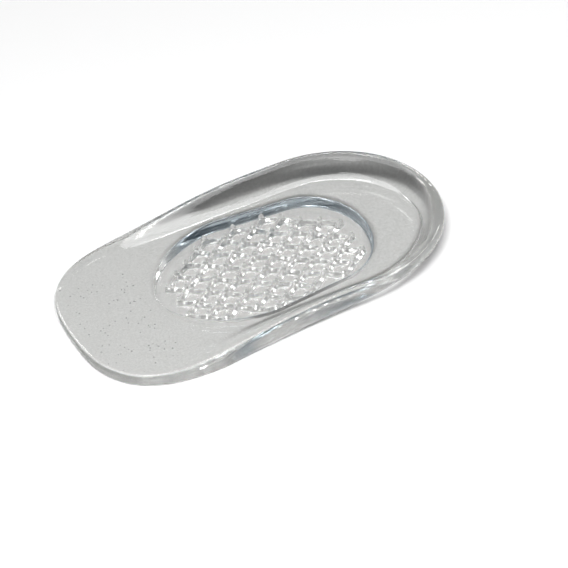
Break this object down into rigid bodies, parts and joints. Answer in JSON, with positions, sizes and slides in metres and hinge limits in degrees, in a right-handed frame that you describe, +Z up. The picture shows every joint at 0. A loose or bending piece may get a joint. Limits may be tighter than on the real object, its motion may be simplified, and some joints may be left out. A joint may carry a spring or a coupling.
{
  "type": "gel heel cup",
  "caption": "Clear soft gel heel cup for a shoe: flat sole that thins towards the front, raised round heel rim, and an oval recess with a net of low ribs and small pins",
  "frame": {"origin": "on the ground, under the middle of the cup's box", "axes": "+Z up, +X towards the heel, -X towards the thin front edge, Y across the foot"},
  "size_m": [0.108, 0.0634, 0.0089],
  "materials": {
    "clear_gel": "clear soft gel with a smooth wet gloss, very faintly grey and warm where it is thick"
  },
  "bodies": {
    "root": {"heel_cup": "clear_gel"}
  },
  "joints": []
}
